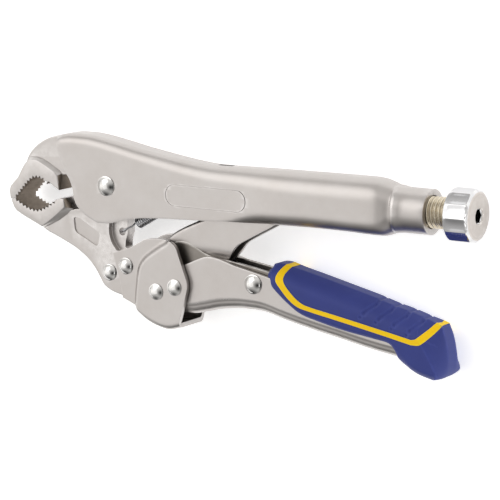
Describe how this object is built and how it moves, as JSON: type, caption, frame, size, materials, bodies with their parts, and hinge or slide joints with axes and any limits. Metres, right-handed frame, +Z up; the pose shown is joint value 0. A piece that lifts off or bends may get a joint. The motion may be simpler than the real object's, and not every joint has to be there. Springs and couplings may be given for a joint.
{
  "type": "locking pliers",
  "caption": "Curved-jaw locking pliers with a pressed-steel upper handle, riveted toggle lever, adjusting screw with a polished knob, and a soft two-tone grip.",
  "frame": {"origin": "middle of the footprint with the tool lying on its side, at the height of the face it rests on", "axes": "+X along the adjusting screw from the jaws to the knob, +Y from the lower handle towards the back of the upper handle, +Z up across the cheeks, parallel to every pivot"},
  "size_m": [0.25, 0.0966, 0.0244],
  "materials": {
    "satin_nickel": "satin nickel plate over blasted steel",
    "dark_steel": "plain steel, shaded and lightly oiled",
    "polished_rivet": "tumbled bright rivet heads",
    "spring_steel": "drawn spring wire",
    "screw_steel": "rolled thread with a warm plating",
    "chrome_knob": "polished with a satin end face",
    "blue_grip": "matte moulded soft plastic",
    "yellow_grip": "matte moulded soft plastic"
  },
  "bodies": {
    "frame": {"upper_handle": "satin_nickel", "fixed_jaw": "satin_nickel", "main_pivot_rivet": "polished_rivet"},
    "lower_jaw": {"lower_jaw": "satin_nickel", "tail_stop_rivet": "polished_rivet", "return_spring": "spring_steel"},
    "lever": {"lever": "satin_nickel", "lever_rivet": "polished_rivet", "handle_rivet": "polished_rivet", "link_rivet": "polished_rivet"},
    "toggle_link": {"toggle_link": "satin_nickel", "link_bush": "dark_steel"},
    "lower_handle": {"lower_handle": "satin_nickel", "inner_channel": "dark_steel", "rear_rivet": "polished_rivet", "rear_spacer": "dark_steel", "grip": "blue_grip", "grip_stripe_left": "yellow_grip", "grip_stripe_right": "yellow_grip"},
    "screw_carrier": {"screw_tip": "spring_steel"},
    "adjusting_screw": {"adjusting_screw": "screw_steel", "adjusting_knob": "chrome_knob"}
  },
  "joints": [
    {"name": "jaw_pivot", "type": "hinge", "parent": "frame", "child": "lower_jaw", "pos_m": [-0.0669, 0.0249, 0.0122], "axis": [0, 0, 1], "range_deg": [0, 12.5], "deforming": ["return_spring"]},
    {"name": "lever_pivot", "type": "hinge", "parent": "lower_jaw", "child": "lever", "pos_m": [-0.056, -0.0124, 0.0122], "axis": [0, 0, 1], "range_deg": [-30.25, 0]},
    {"name": "link_pivot", "type": "hinge", "parent": "lever", "child": "toggle_link", "pos_m": [-0.0272, -0.0196, 0.0122], "axis": [0, 0, 1], "range_deg": [0, 22.9]},
    {"name": "handle_release", "type": "hinge", "parent": "lever", "child": "lower_handle", "pos_m": [-0.0375, -0.0226, 0.0122], "axis": [0, 0, 1], "range_deg": [-6, 0]},
    {"name": "screw_feed", "type": "slide", "parent": "frame", "child": "screw_carrier", "axis": [1, 0, 0], "range_m": [0, 0.018]},
    {"name": "screw_turn", "type": "hinge", "parent": "screw_carrier", "child": "adjusting_screw", "pos_m": [0.1131, 0.0256, 0.0122], "axis": [1, 0, 0], "range_deg": [0, 3240.1]}
  ],
  "couplings": [
    {"joint": "jaw_pivot", "follows": "lever_pivot", "ratio": -0.41322},
    {"joint": "link_pivot", "follows": "lever_pivot", "ratio": -0.7562},
    {"joint": "screw_turn", "follows": "screw_feed", "rad_per_m": 3141.6}
  ]
}
